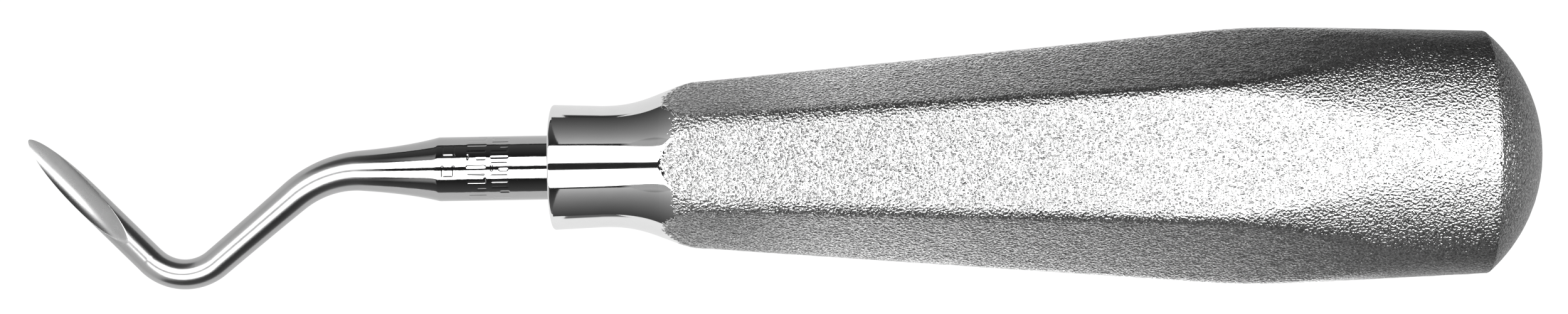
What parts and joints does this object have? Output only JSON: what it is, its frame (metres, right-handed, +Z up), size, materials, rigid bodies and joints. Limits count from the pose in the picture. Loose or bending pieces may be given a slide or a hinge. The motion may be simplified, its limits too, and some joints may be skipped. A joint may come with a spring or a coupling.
{
  "type": "dental elevator",
  "caption": "Hand elevator with a hollowed pointed blade on a double-bent shank, a polished collar and a tapering six-sided steel grip.",
  "frame": {"origin": "bottom centre of the bounding box: on the table, under the middle of the instrument's length", "axes": "+X along the instrument from the blade to the butt, +Y away from the side that the shank bends to, +Z up, the side that the hollow of the blade faces"},
  "size_m": [0.1496, 0.0252, 0.0246],
  "materials": {
    "polished_steel": "fine polish, slightly drawn along the shank",
    "mirror_steel": "mirror polish",
    "blasted_steel": "coarse blasted grain, matt",
    "plain_steel": "ground",
    "filler_metal": "dressed flush"
  },
  "bodies": {
    "root": {"working_end": "polished_steel", "collar": "mirror_steel", "grip_shell": "blasted_steel", "butt_cap": "blasted_steel", "tang_pin": "plain_steel", "mouth_braze": "filler_metal", "collar_braze": "filler_metal", "cap_weld": "filler_metal"}
  },
  "joints": []
}
